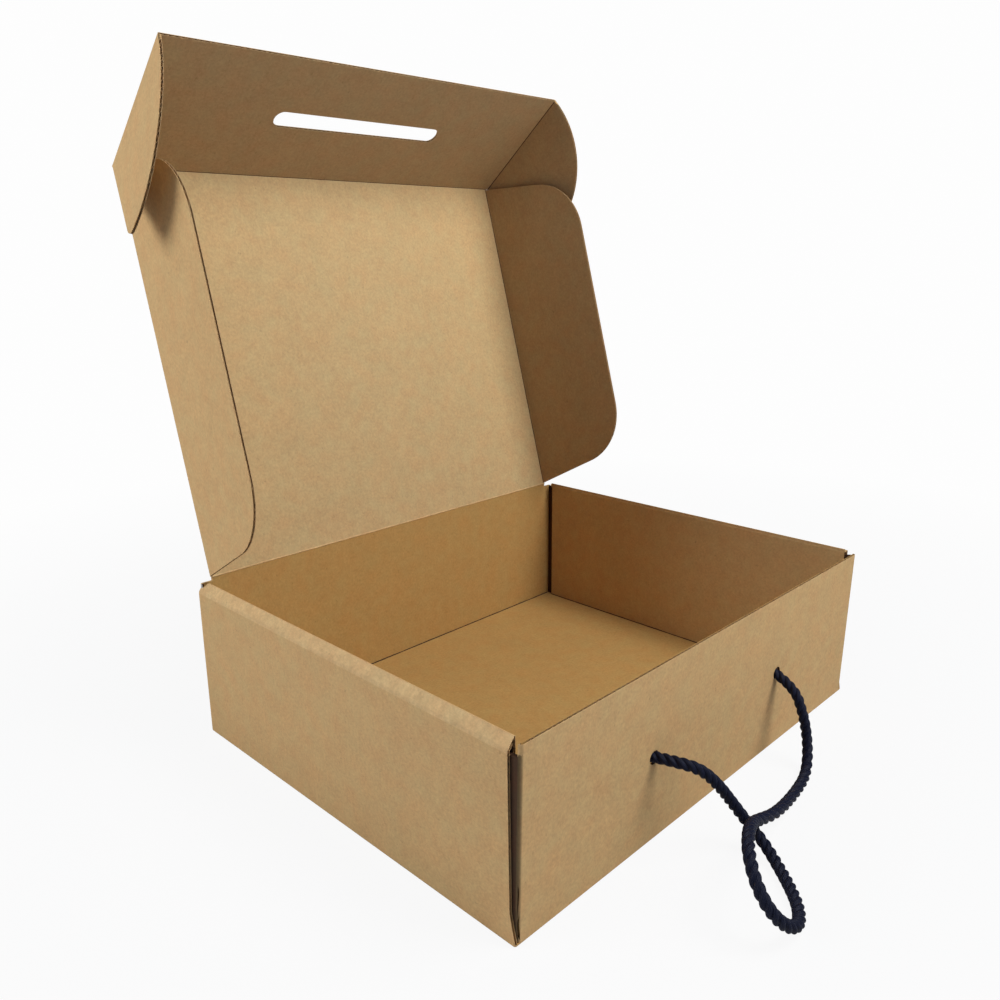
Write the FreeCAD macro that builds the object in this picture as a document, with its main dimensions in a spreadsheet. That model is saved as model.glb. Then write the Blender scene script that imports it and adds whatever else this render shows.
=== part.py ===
import FreeCAD, Part
import math
import os

import Sketcher
from FreeCAD import Placement, Rotation, Vector

os.makedirs("parts", exist_ok=True)
doc = FreeCAD.newDocument("rope_handle_box")

# ---------------------------------------------------------------- sizes
# Millimetres and degrees. The folded sheet is thin corrugated board; every
# fold between two panels that move turns on a line in the middle of the board.
SIZES = {
    "board": (1.5, "thickness of the corrugated board"),
    "tray_width": (300, "outside, left to right"),
    "tray_depth": (244, "outside, front to back"),
    "crest_height": (93.2, "top of the rolled side walls, before its edge is rounded"),
    "crest_radius": (0.5, "outside radius of the fold along the crest"),
    "roll_rise": (5.8, "from the roll's outer crease up to its crest"),
    "ply_gap": (0.15, "between two plies that lie side by side"),
    "front_height": (91.4, "height of the front wall"),
    "front_lean": (1.2, "degrees that the front wall leans outward"),
    "slit_width": (3.9, "front of the tray to a side wall's front end, at its crease"),
    "slit_foot_width": (3.2, "the same, where the slit runs out to the corner"),
    "slit_foot_height": (15, "height at which it begins to run out"),
    "roll_front_inset": (3.9, "front of the tray to the front end of a roll"),
    "roll_back_inset": (6.5, "back of the tray to the back end of an inner panel"),
    "crease_back_inset": (1.3, "back of the tray to the back end of a crease"),
    "dust_flap_length": (70, "dust flap, from its fold to its free end"),
    "dust_flap_height": (86, "dust flap, top above the floor's underside"),
    "dust_flap_taper": (9, "how much lower the free end of a dust flap is"),
    "tab_length": (36, "locking tab, along the side wall"),
    "tab_spacing": (104, "between the centres of the two locking tabs"),
    "tab_rise": (0.3, "locking tab's tip above the floor's underside"),
    "tab_slack": (0.5, "floor slot beyond the tab, each way"),
    "fold_radius": (1.3, "outside radius of the folds along the floor"),
    "corner_radius": (1.7, "outside radius of the upright front and back folds"),
    "hole_spacing": (116, "between the rope holes"),
    "hole_height": (45.6, "rope holes above the floor's underside"),
    "hole_diameter": (7, "rope hole"),
    "hinge_height": (93.8, "lid's hinge line above the floor's underside"),
    "hinge_step": (2.4, "back wall's top below the hinge line, beside the lid"),
    "fold_gap": (0.7, "between a fold's round nose and the next panel"),
    "lid_front_inset": (13.5, "how much shorter the lid is than the tray is deep"),
    "lid_side_inset": (8.7, "side of the tray to a side flap's fold line"),
    "flap_depth": (79.5, "side flap, from its fold line to its free edge"),
    "flap_end_gap": (2, "hinge line or tuck fold line to the end of a side flap"),
    "flap_hinge_taper": (12, "degrees that its hinge end slopes"),
    "flap_tuck_taper": (13, "degrees that its tuck end slopes"),
    "flap_corner": (40, "radius of its two free corners"),
    "tuck_side_inset": (5.9, "side of the tray to an ear's fold line"),
    "tuck_length": (87.5, "tuck fold line to free edge"),
    "slot_length": (121.5, "slot in the tuck flap, over its round ends"),
    "slot_width": (11.4, "slot in the tuck flap"),
    "slot_offset": (45.2, "tuck fold line to the middle of the slot"),
    "ear_radius": (62, "depth of an ear, and the radius of its round side"),
    "ear_start": (1.8, "tuck fold line to the start of an ear"),
    "ear_taper": (16, "degrees that the ear's straight side slopes"),
    "ear_corner": (8, "radius of the corner between its straight side and its end"),
    "lid_lean": (15.4, "degrees that the open lid leans back"),
    "tuck_fold": (66, "degrees that the tuck flap is folded at rest"),
    "flap_fold": (85.5, "degrees that the side flaps are folded at rest"),
    "ear_left_fold": (75, "degrees that the left ear is folded at rest"),
    "ear_right_fold": (78, "degrees that the right ear is folded at rest"),
    "rope_diameter": (5.4, "twisted rope"),
    "knot_diameter": (10.4, "stopper knot"),
    "knot_length": (8, "stopper knot, away from the wall"),
    "knot_round": (2.2, "radius of the knot's rounded rims"),
    "knot_gap": (0.25, "front wall to knot"),
}
sheet = doc.addObject("Spreadsheet::Sheet", "Sizes")
for row, (alias, (value, meaning)) in enumerate(SIZES.items(), start=1):
    sheet.set(f"A{row}", alias)
    sheet.set(f"B{row}", str(value))
    sheet.set(f"C{row}", meaning)
    sheet.setAlias(f"B{row}", alias)
doc.recompute()


def size(expression):
    """The value of an expression of sheet aliases, such as 'board * 2'."""
    return float(sheet.evalExpression(expression))


def bound(expression):
    """The same expression as another object of the document writes it."""
    words, word = [], ""
    for character in expression + " ":
        if character.isalnum() or character == "_":
            word += character
        else:
            words.append(f"Sizes.{word}" if word in SIZES else word)
            words.append(character)
            word = ""
    return "".join(words).strip()


# ---------------------------------------------------------------- tools
def near(first, second):
    return abs(first - second) < 0.02


def new_body(name):
    body = doc.addObject("PartDesign::Body", name)
    body.Label = name
    return body


def origin_plane(body, role):
    return next(f for f in body.Origin.OriginFeatures if f.Role == role)


def add_sketch(body, name, role, height="0"):
    """An empty sketch on one of the body's own origin planes, or above it."""
    sketch = body.newObject("Sketcher::SketchObject", name)
    sketch.AttachmentSupport = (origin_plane(body, role), [""])
    sketch.MapMode = "FlatFace"
    sketch.AttachmentOffset = Placement(Vector(0, 0, size(height)), Rotation())
    sketch.setExpression("AttachmentOffset.Base.z", bound(height))
    return sketch


def pin(sketch, geometry, end, x, y):
    """Hold one end of a line or arc at a place given by two expressions."""
    for kind, expression in (("DistanceX", x), ("DistanceY", y)):
        fixed = Sketcher.Constraint(kind, -1, 1, geometry, end, size(expression))
        number = sketch.addConstraint(fixed)
        sketch.setExpression(f"Constraints[{number}]", bound(expression))


def outline(sketch, corners):
    """A closed outline. A corner is (x, y), or (x, y, radius) where an arc that
    bulges to the right of its travel leads to the next corner. A half circle is
    held by its centre instead, as (x, y, radius, centre), where centre is the
    centre's x for an upright chord and its y for a level one."""
    places = [Vector(size(c[0]), size(c[1]), 0) for c in corners]
    first = len(sketch.Geometry)
    for n, corner in enumerate(corners):
        start, end = places[n], places[(n + 1) % len(corners)]
        if len(corner) == 2:
            sketch.addGeometry(Part.LineSegment(start, end), False)
            continue
        radius, chord = size(corner[2]), end - start
        out = Vector(chord.y, -chord.x, 0).normalize()
        rise = radius - math.sqrt(max(radius**2 - (chord.Length / 2) ** 2, 0))
        middle = (start + end) / 2 + out * rise
        sketch.addGeometry(Part.Arc(start, middle, end), False)
    for n, corner in enumerate(corners):
        here, after = first + n, first + (n + 1) % len(corners)
        sketch.addConstraint(Sketcher.Constraint("Coincident", here, 2, after, 1))
        pin(sketch, here, 1, corner[0], corner[1])
        if len(corner) == 2:
            continue
        fixed = Sketcher.Constraint("Radius", here, size(corner[2]))
        held_to = corner[2]
        if len(corner) == 4:
            upright = near(places[n].x, places[(n + 1) % len(corners)].x)
            kind = "DistanceX" if upright else "DistanceY"
            fixed = Sketcher.Constraint(kind, -1, 1, here, 3, size(corner[3]))
            held_to = corner[3]
        number = sketch.addConstraint(fixed)
        sketch.setExpression(f"Constraints[{number}]", bound(held_to))


def circle(sketch, x, y, radius):
    """A whole circle about a centre given by two expressions."""
    middle = Vector(size(x), size(y), 0)
    here = sketch.addGeometry(Part.Circle(middle, Vector(0, 0, 1), size(radius)), False)
    pin(sketch, here, 3, x, y)
    number = sketch.addConstraint(Sketcher.Constraint("Radius", here, size(radius)))
    sketch.setExpression(f"Constraints[{number}]", bound(radius))


def rectangle(sketch, left, bottom, right, top):
    outline(sketch, [(left, bottom), (right, bottom), (right, top), (left, top)])


def add_pad(body, name, sketch, length, both_ways=False):
    pad = body.newObject("PartDesign::Pad", name)
    pad.Profile = sketch
    pad.Length = size(length)
    pad.setExpression("Length", bound(length))
    pad.Midplane = both_ways
    sketch.Visibility = False
    doc.recompute()
    return pad


def add_pocket(body, name, sketch, length, reversed_cut=False, both_ways=False):
    """A pocket that has to remove material."""
    before = body.Shape.Volume
    pocket = body.newObject("PartDesign::Pocket", name)
    pocket.Profile = sketch
    pocket.Length = size(length)
    pocket.setExpression("Length", bound(length))
    pocket.Reversed = reversed_cut
    pocket.Midplane = both_ways
    sketch.Visibility = False
    doc.recompute()
    if body.Shape.Volume > before - 0.01:
        raise RuntimeError(name + " cuts nothing")
    return pocket


def edges_along(shape, direction, test):
    """Names of the straight edges along a direction whose middle passes a test."""
    names = []
    for number, edge in enumerate(shape.Edges, start=1):
        if not isinstance(edge.Curve, Part.Line):
            continue
        if abs(edge.Curve.Direction.dot(direction)) < 0.999:
            continue
        if test(edge.valueAt((edge.FirstParameter + edge.LastParameter) / 2)):
            names.append(f"Edge{number}")
    return names


def add_fillet(body, name, radius, direction, test):
    base = body.Tip
    names = edges_along(base.Shape, direction, test)
    if not names:
        raise RuntimeError(name + " finds no edge")
    fillet = body.newObject("PartDesign::Fillet", name)
    fillet.Base = (base, names)
    fillet.Radius = size(radius)
    fillet.setExpression("Radius", bound(radius))
    doc.recompute()
    return fillet


X, Y, Z = Vector(1, 0, 0), Vector(0, 1, 0), Vector(0, 0, 1)

# ---------------------------------------------------------------- tray
# Origin at the middle of the floor's underside, X to the right, Y to the back.
# Each double side wall is, from outside to inside, the side wall, a dust flap of
# the front or back wall, and the inner panel that the roll brings down again.
SIDE = "tray_width / 2"
LID_WIDTH = "(tray_width - 2 * lid_side_inset)"
TUCK_WIDTH = "(tray_width - 2 * tuck_side_inset)"
LID_LENGTH = "(tray_depth - lid_front_inset)"
FRONT = "-tray_depth / 2"
BACK = "tray_depth / 2"
WALL = "(3 * board + 2 * ply_gap)"
INNER = f"({SIDE} - {WALL})"
DUST = f"({INNER} + board + ply_gap)"
CREASE = "(crest_height - roll_rise)"
ROLL_ANGLE = f"atan({WALL} / roll_rise)"

tray = new_body("tray")

floor_sketch = add_sketch(tray, "floor_outline", "XY_Plane")
rectangle(floor_sketch, f"-{SIDE}", FRONT, SIDE, BACK)
add_pad(tray, "floor", floor_sketch, "board")

# the side wall's front end stays back from the front wall, which leaves a slit
side_sketch = add_sketch(tray, "side_wall_outline", "YZ_Plane", f"{SIDE} - board")
outline(side_sketch, [
    (FRONT, "0"),
    (BACK, "0"),
    (f"{BACK} - crease_back_inset", CREASE),
    (f"{FRONT} + slit_width", CREASE),
    (f"{FRONT} + slit_foot_width", "slit_foot_height"),
])
side_wall = add_pad(tray, "side_wall", side_sketch, "board")

# the roll: up the slanting strip from the outer crease, over the crest and down
roll_sketch = add_sketch(
    tray, "roll_section", "XZ_Plane", f"-({BACK} - crease_back_inset)"
)
outline(roll_sketch, [
    (f"{SIDE} - board", f"{CREASE} - board * tan({ROLL_ANGLE} / 2)"),
    (SIDE, CREASE),
    (INNER, "crest_height"),
    (INNER, "board + ply_gap"),
    (f"{INNER} + board", "board + ply_gap"),
    (f"{INNER} + board", f"crest_height - board / tan({ROLL_ANGLE} / 2)"),
])
roll = add_pad(
    tray, "roll", roll_sketch, "tray_depth - roll_front_inset - crease_back_inset"
)

# at the back the strip is cut on a slant, down to the inner panel's shorter end
end_sketch = add_sketch(tray, "roll_back_end_outline", "XY_Plane", "board")
outline(end_sketch, [
    (f"{INNER} - board", f"{BACK} - roll_back_inset"),
    (INNER, f"{BACK} - roll_back_inset"),
    (f"{SIDE} - board", f"{BACK} - 2 * crease_back_inset"),
    (f"{SIDE} - board", BACK),
    (f"{INNER} - board", BACK),
])
roll_end = add_pocket(
    tray, "roll_back_end", end_sketch, "crest_height", reversed_cut=True
)

# two locking tabs under the inner panel, standing in slots in the floor
slot_sketch = add_sketch(tray, "tab_slot_outline", "XY_Plane")
tab_sketch = add_sketch(tray, "tab_outline", "XY_Plane", "tab_rise")
for place in ("-tab_spacing / 2", "tab_spacing / 2"):
    rectangle(
        slot_sketch,
        f"{INNER} - ply_gap",
        f"{place} - tab_length / 2 - tab_slack",
        f"{INNER} + board + ply_gap",
        f"{place} + tab_length / 2 + tab_slack",
    )
    rectangle(
        tab_sketch,
        INNER,
        f"{place} - tab_length / 2",
        f"{INNER} + board",
        f"{place} + tab_length / 2",
    )
tab_slots = add_pocket(tray, "tab_slots", slot_sketch, "board", reversed_cut=True)
tabs = add_pad(tray, "tabs", tab_sketch, "board + 2 * ply_gap")

# the front dust flap follows the lean of the front wall at its fold
LEAN = "tan(front_lean)"
WALL_WIDTH = f"(2 * ({DUST} + board))"
front_dust_sketch = add_sketch(tray, "front_dust_flap_outline", "YZ_Plane", DUST)
outline(front_dust_sketch, [
    (f"{FRONT} + corner_radius - ply_gap * {LEAN}", "board + ply_gap"),
    (f"{FRONT} + dust_flap_length", "board + ply_gap"),
    (f"{FRONT} + dust_flap_length", "dust_flap_height - dust_flap_taper"),
    (f"{FRONT} + corner_radius - (dust_flap_height - board) * {LEAN}",
     "dust_flap_height"),
])
front_dust_flap = add_pad(tray, "front_dust_flap", front_dust_sketch, "board")

back_dust_sketch = add_sketch(tray, "back_dust_flap_outline", "YZ_Plane", DUST)
outline(back_dust_sketch, [
    (f"{BACK} - dust_flap_length", "board + ply_gap"),
    (f"{BACK} - corner_radius", "board + ply_gap"),
    (f"{BACK} - corner_radius", "dust_flap_height"),
    (f"{BACK} - dust_flap_length", "dust_flap_height - dust_flap_taper"),
])
back_dust_flap = add_pad(tray, "back_dust_flap", back_dust_sketch, "board")

left_half = tray.newObject("PartDesign::Mirrored", "left_half")
left_half.Originals = [
    side_wall, roll, roll_end, tab_slots, tabs, front_dust_flap, back_dust_flap
]
left_half.MirrorPlane = (origin_plane(tray, "YZ_Plane"), [""])
tray.Tip = left_half
doc.recompute()

side, back, crest = size(SIDE), size(BACK), size("crest_height")
add_fillet(tray, "crest_folds", "crest_radius", Y,
           lambda m: near(abs(m.x), size(INNER)) and near(m.z, crest))
add_fillet(tray, "side_floor_folds", "fold_radius", Y,
           lambda m: near(abs(m.x), side) and near(m.z, 0))
add_fillet(tray, "front_and_back_floor_folds", "fold_radius", X,
           lambda m: near(abs(m.y), back) and near(m.z, 0))

# The front and back walls stand on the floor's edges and turn round an upright
# fold at each end into a dust flap. The front wall is pushed up along its lean.
END = f"({WALL_WIDTH} / 2)"
front_sketch = add_sketch(tray, "front_wall_footprint", "XY_Plane", "board")
outline(front_sketch, [
    (f"-{END}", f"{FRONT} + corner_radius", "corner_radius"),
    (f"corner_radius - {END}", FRONT),
    (f"{END} - corner_radius", FRONT, "corner_radius"),
    (END, f"{FRONT} + corner_radius"),
    (f"{END} - board", f"{FRONT} + corner_radius"),
    (f"{END} - board", f"{FRONT} + board"),
    (f"board - {END}", f"{FRONT} + board"),
    (f"board - {END}", f"{FRONT} + corner_radius"),
])
front_wall = add_pad(tray, "front_wall", front_sketch, "front_height - board")
front_wall.UseCustomVector = True
front_wall.Direction = Vector(0, -math.tan(math.radians(size("front_lean"))), 1)
front_wall.AlongSketchNormal = True
doc.recompute()

back_sketch = add_sketch(tray, "back_wall_footprint", "XY_Plane", "board")
outline(back_sketch, [
    (END, f"{BACK} - corner_radius", "corner_radius"),
    (f"{END} - corner_radius", BACK),
    (f"corner_radius - {END}", BACK, "corner_radius"),
    (f"-{END}", f"{BACK} - corner_radius"),
    (f"board - {END}", f"{BACK} - corner_radius"),
    (f"board - {END}", f"{BACK} - board"),
    (f"{END} - board", f"{BACK} - board"),
    (f"{END} - board", f"{BACK} - corner_radius"),
])
add_pad(tray, "back_wall", back_sketch, "hinge_height - hinge_step - board")

# along the top of the back wall: the strip that carries the lid, with a round nose
HINGE_Y = f"({BACK} - board / 2)"
nose_sketch = add_sketch(tray, "hinge_nose_section", "YZ_Plane")
outline(nose_sketch, [
    (f"{BACK} - board", "hinge_height - 2 * hinge_step"),
    (BACK, "hinge_height - 2 * hinge_step"),
    (BACK, "hinge_height", "board / 2", "hinge_height"),
    (f"{BACK} - board", "hinge_height"),
])
add_pad(tray, "hinge_nose", nose_sketch, LID_WIDTH, both_ways=True)

ROLL = "(4 * board + 2 * ply_gap)"
hole_sketch = add_sketch(tray, "rope_holes_outline", "XZ_Plane", f"-({FRONT} + {ROLL})")
circle(hole_sketch, "-hole_spacing / 2", "hole_height", "hole_diameter / 2")
circle(hole_sketch, "hole_spacing / 2", "hole_height", "hole_diameter / 2")
add_pocket(tray, "rope_holes", hole_sketch, f"2 * {ROLL}", reversed_cut=True)

# ---------------------------------------------------------------- lid and flaps
# Each panel is drawn flat in its own frame: its fold line is the frame's axis in
# the middle of the board, it begins a little beyond the round nose on that line,
# and its inner face looks along +Z. Its Placement then folds it.
START = "(board / 2 + fold_gap)"


def shift(x, y, z):
    return Placement(Vector(size(x), size(y), size(z)), Rotation())


def turn(axis, degrees):
    return Placement(Vector(), Rotation(axis, size(degrees)))


def add_side_noses(body, width, length):
    """Round noses along a panel's two sides, where its own flaps fold."""
    sketch = add_sketch(body, body.Name + "_side_noses", "XZ_Plane", f"-{length}")
    circle(sketch, f"-{width} / 2", "0", "board / 2")
    circle(sketch, f"{width} / 2", "0", "board / 2")
    add_pad(body, body.Name + "_side_folds", sketch, f"{length} - {START}")


lid_panel = new_body("lid_panel")
lid_sketch = add_sketch(lid_panel, "lid_outline", "XY_Plane")
rectangle(lid_sketch, f"-{LID_WIDTH} / 2", START, f"{LID_WIDTH} / 2", LID_LENGTH)
add_pad(lid_panel, "lid_board", lid_sketch, "board", both_ways=True)
tuck_nose_sketch = add_sketch(lid_panel, "tuck_nose", "YZ_Plane")
circle(tuck_nose_sketch, LID_LENGTH, "0", "board / 2")
add_pad(lid_panel, "tuck_fold_line", tuck_nose_sketch, LID_WIDTH, both_ways=True)
add_side_noses(lid_panel, LID_WIDTH, LID_LENGTH)
lid_panel.Placement = shift("0", HINGE_Y, "hinge_height") * turn(X, "90 - lid_lean")


def side_flap(name, place):
    """Drawn for the right side: x from the fold line out, y towards the tuck."""
    body = new_body(name)
    sketch = add_sketch(body, name + "_outline", "XY_Plane")
    reach = f"(flap_depth - {START})"
    outline(sketch, [
        (START, "flap_end_gap"),
        ("flap_depth", f"flap_end_gap + {reach} * tan(flap_hinge_taper)"),
        ("flap_depth", f"{LID_LENGTH} - flap_end_gap - {reach} * tan(flap_tuck_taper)"),
        (START, f"{LID_LENGTH} - flap_end_gap"),
    ])
    add_pad(body, name + "_board", sketch, "board", both_ways=True)
    add_fillet(body, name + "_corners", "flap_corner", Z,
               lambda m: near(m.x, size("flap_depth")))
    body.Placement = lid_panel.Placement * place
    return body


side_flap_right = side_flap(
    "side_flap_right", shift(f"{LID_WIDTH} / 2", "0", "0") * turn(Y, "-flap_fold")
)
side_flap_left = side_flap(
    "side_flap_left", shift(f"-{LID_WIDTH} / 2", "0", "0") * turn(Y, "180 + flap_fold")
)

tuck_flap = new_body("tuck_flap")
tuck_sketch = add_sketch(tuck_flap, "tuck_outline", "XY_Plane")
rectangle(tuck_sketch, f"-{TUCK_WIDTH} / 2", START, f"{TUCK_WIDTH} / 2", "tuck_length")
add_pad(tuck_flap, "tuck_board", tuck_sketch, "board", both_ways=True)
add_side_noses(tuck_flap, TUCK_WIDTH, "tuck_length")
SLOT_END = "(slot_length / 2 - slot_width / 2)"
slot = add_sketch(tuck_flap, "slot_outline", "XY_Plane")
outline(slot, [
    (f"-{SLOT_END}", "slot_offset - slot_width / 2"),
    (SLOT_END, "slot_offset - slot_width / 2", "slot_width / 2", SLOT_END),
    (SLOT_END, "slot_offset + slot_width / 2"),
    (f"-{SLOT_END}", "slot_offset + slot_width / 2", "slot_width / 2", f"-{SLOT_END}"),
])
add_pocket(tuck_flap, "knot_slot", slot, "2 * board", both_ways=True)
tuck_flap.Placement = (
    lid_panel.Placement * shift("0", LID_LENGTH, "0") * turn(X, "tuck_fold")
)


def ear(name, place):
    """Drawn for the right side: x from the fold line out, y from the tuck fold on.
    A straight side that slopes, a short end, and a quarter circle back."""
    body = new_body(name)
    sketch = add_sketch(body, name + "_outline", "XY_Plane")
    outline(sketch, [
        (START, "ear_start"),
        ("ear_radius", f"ear_start + (ear_radius - {START}) * tan(ear_taper)"),
        ("ear_radius", "tuck_length - ear_radius", "ear_radius"),
        (START, f"tuck_length - ear_radius + sqrt(ear_radius ^ 2 - {START} ^ 2)"),
    ])
    add_pad(body, name + "_board", sketch, "board", both_ways=True)
    add_fillet(body, name + "_corner", "ear_corner", Z,
               lambda m: near(m.x, size("ear_radius")) and m.y < size("tuck_length / 4"))
    body.Placement = tuck_flap.Placement * place
    return body


ear_right = ear(
    "ear_right", shift(f"{TUCK_WIDTH} / 2", "0", "0") * turn(Y, "-ear_right_fold")
)
ear_left = ear(
    "ear_left", shift(f"-{TUCK_WIDTH} / 2", "0", "0") * turn(Y, "180 + ear_left_fold")
)

# ---------------------------------------------------------------- rope and knots
KNOT_FACE = f"({FRONT} + board - hole_height * {LEAN} + knot_gap)"


def knot(name, x):
    """A stopper knot behind the front wall, drawn as a rounded barrel."""
    body = new_body(name)
    sketch = add_sketch(body, name + "_outline", "XZ_Plane", "-knot_length")
    circle(sketch, "0", "0", "knot_diameter / 2")
    barrel = add_pad(body, name + "_barrel", sketch, "knot_length")
    rims = [f"Edge{n}" for n, edge in enumerate(body.Shape.Edges, start=1)
            if isinstance(edge.Curve, Part.Circle)]
    rounding = body.newObject("PartDesign::Fillet", name + "_rims")
    rounding.Base = (barrel, rims)
    rounding.Radius = size("knot_round")
    rounding.setExpression("Radius", bound("knot_round"))
    body.Placement = shift(x, KNOT_FACE, "hole_height")
    return body


knot_left = knot("knot_left", "-hole_spacing / 2")
knot_right = knot("knot_right", "hole_spacing / 2")
doc.recompute()

# The rope's own line, chosen point by point: out of the left hole, down to the
# surface in front of the box, round in a loop that crosses over itself, and along
# to the right, then up into the right hole. Its ends are trimmed by the knots.
# A point's second number is how far it lies behind the knots' faces.
ROUTE = [
    (-55.5, -11.3, 46.5), (-48.5, -20.8, 43.5), (-41, -25.8, 34), (-33.5, -28.8, 23),
    (-29, -34.8, 13), (-29, -44.3, 6), (-35, -54.3, 2.8), (-43.5, -63.8, 2.8),
    (-53, -72.8, 2.8), (-64, -78.3, 4), (-74.5, -77.8, 9.5), (-80.5, -72.8, 18),
    (-80, -65.8, 27), (-73, -58.3, 33.5), (-62, -52.3, 33.5), (-51.5, -47.8, 29),
    (-40.5, -43.3, 23), (-28, -40.8, 17), (-15, -39.8, 12), (-1.5, -37.8, 8),
    (11.5, -35.3, 4.5), (23.5, -33.3, 2.8), (36.5, -31.3, 2.8), (45, -28.8, 4.5),
    (51.5, -25.8, 10), (55, -22.8, 18), (54, -20.3, 29.5), (57, -12.8, 41.5),
]
HOLE = Vector(size("hole_spacing / 2"), size(KNOT_FACE), size("hole_height"))
route = [Vector(-HOLE.x, HOLE.y, HOLE.z)]
route += [Vector(x, HOLE.y + y, z) for x, y, z in ROUTE] + [HOLE]


def tangent_path(points, share=0.45):
    """Straight runs joined by tangent arcs, as large as the runs beside them allow."""
    edges, radii, here = [], [], points[0]
    for before, corner, after in zip(points, points[1:], points[2:]):
        back, on = before - corner, after - corner
        reach = share * min(back.Length, on.Length)
        back.normalize()
        on.normalize()
        half_turn = (math.pi - back.getAngle(on)) / 2
        radii.append(reach / math.tan(half_turn))
        inward = (back + on).normalize()
        middle = corner + inward * radii[-1] * (1 / math.cos(half_turn) - 1)
        start, end = corner + back * reach, corner + on * reach
        edges.append(Part.LineSegment(here, start).toShape())
        edges.append(Part.Arc(start, middle, end).toShape())
        here = end
    edges.append(Part.LineSegment(here, points[-1]).toShape())
    return Part.Wire(edges), radii


path, radii = tangent_path(route)
into_knot = (route[0] - route[1]).normalize() * size("rope_diameter / 4")
out_of_knot = (route[-1] - route[-2]).normalize() * size("rope_diameter / 4")
long_path, long_radii = tangent_path(
    [route[0] + into_knot] + route[1:-1] + [route[-1] + out_of_knot]
)
section = Part.Wire(
    Part.makeCircle(size("rope_diameter / 2"), route[0] + into_knot, into_knot)
)
tube = long_path.makePipeShell([section], True, False)
if tube.Volume < 0:
    tube.reverse()
tube = tube.cut([knot_left.Shape, knot_right.Shape]).Solids[0]
rope_handle = doc.addObject("Part::Feature", "rope_handle")
rope_handle.Label = "rope_handle"
rope_handle.Shape = tube
true_volume = section.Length**2 / (4 * math.pi) * path.Length
print(f"rope {path.Length:.1f} mm long, tightest radius {min(radii):.1f} mm,",
      f"volume {tube.Volume:.0f} of {true_volume:.0f} mm3")
print("rope radii", " ".join(f"{radius:.0f}" for radius in radii))
doc.recompute()

PARTS = [tray, lid_panel, side_flap_left, side_flap_right, tuck_flap,
         ear_left, ear_right, rope_handle, knot_left, knot_right]
for item in doc.Objects:
    if "Invalid" in item.State or "Error" in item.State:
        raise RuntimeError(item.Name + " failed")
for body in PARTS:
    shape = body.Shape
    if shape.isNull() or not shape.isValid():
        raise RuntimeError(body.Label + " has no sound shape")
    shape.exportStep("parts/" + body.Label + ".step")
    box = shape.BoundBox
    print(f"{body.Label:16s} {shape.Volume:9.0f} mm3, {len(shape.Faces)} faces,",
          f"{len(shape.Solids)} solid,",
          f"x {box.XMin:.1f} {box.XMax:.1f}, y {box.YMin:.1f} {box.YMax:.1f},",
          f"z {box.ZMin:.1f} {box.ZMax:.1f}")
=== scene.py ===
import math

import bpy
from mathutils import Matrix, Vector


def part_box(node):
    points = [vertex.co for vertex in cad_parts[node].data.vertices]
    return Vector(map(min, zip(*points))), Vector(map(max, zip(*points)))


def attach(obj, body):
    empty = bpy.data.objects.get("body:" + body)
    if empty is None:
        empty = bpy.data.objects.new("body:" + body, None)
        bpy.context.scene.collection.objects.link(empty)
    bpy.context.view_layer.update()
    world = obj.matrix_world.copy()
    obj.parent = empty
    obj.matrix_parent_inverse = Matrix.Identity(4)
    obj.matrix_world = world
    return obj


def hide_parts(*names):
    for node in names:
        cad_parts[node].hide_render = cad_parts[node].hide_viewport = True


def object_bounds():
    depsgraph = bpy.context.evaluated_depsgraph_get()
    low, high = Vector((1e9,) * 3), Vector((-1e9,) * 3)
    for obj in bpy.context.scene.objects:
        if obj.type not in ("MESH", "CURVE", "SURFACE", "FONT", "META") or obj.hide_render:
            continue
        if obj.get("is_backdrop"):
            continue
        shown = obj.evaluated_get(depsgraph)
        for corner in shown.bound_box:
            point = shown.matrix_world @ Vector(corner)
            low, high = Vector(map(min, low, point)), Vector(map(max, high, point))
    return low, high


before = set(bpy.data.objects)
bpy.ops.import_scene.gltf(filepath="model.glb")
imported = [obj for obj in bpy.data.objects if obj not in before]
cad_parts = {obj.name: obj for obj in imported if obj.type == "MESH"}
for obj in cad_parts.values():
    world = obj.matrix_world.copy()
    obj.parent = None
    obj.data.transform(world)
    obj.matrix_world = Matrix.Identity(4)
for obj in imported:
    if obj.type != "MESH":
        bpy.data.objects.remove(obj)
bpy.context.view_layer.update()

# ------------------------------------------------------------------ tray
# The whole box is one die-cut sheet of brown E-flute corrugated board. Its tray
# has a floor, a front and a back wall with dust flaps, and two rolled side walls
# of three plies, whose inner panels lock into slots in the floor with tabs.
FLUTE = 0.0032                          # from one flute to the next
LINER = 0.00024                         # thickness of each of the two flat papers
MEDIUM = 0.00018                        # thickness of the fluted paper between them
BOARD = 0.0015                          # thickness of the board
PLY = BOARD + 0.00015                   # from ply to ply in a rolled wall
HALF_WIDTH, HALF_DEPTH = 0.150, 0.122   # middle of the tray to its outside
OUTER_PLY = HALF_WIDTH - BOARD          # to the inner face of a rolled wall's outer ply
INNER_PLY = HALF_WIDTH - 2 * PLY        # to the outer face of its inner ply
INNER_WALL = INNER_PLY - BOARD          # to the inside of the tray
CREASE_HEIGHT = 0.0874                  # a rolled wall's outer crease
FRONT_TOP = 0.0914                      # top of the front wall
FOLD_FOOT = 0.0016                      # where the walls' folds show on the floor


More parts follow.
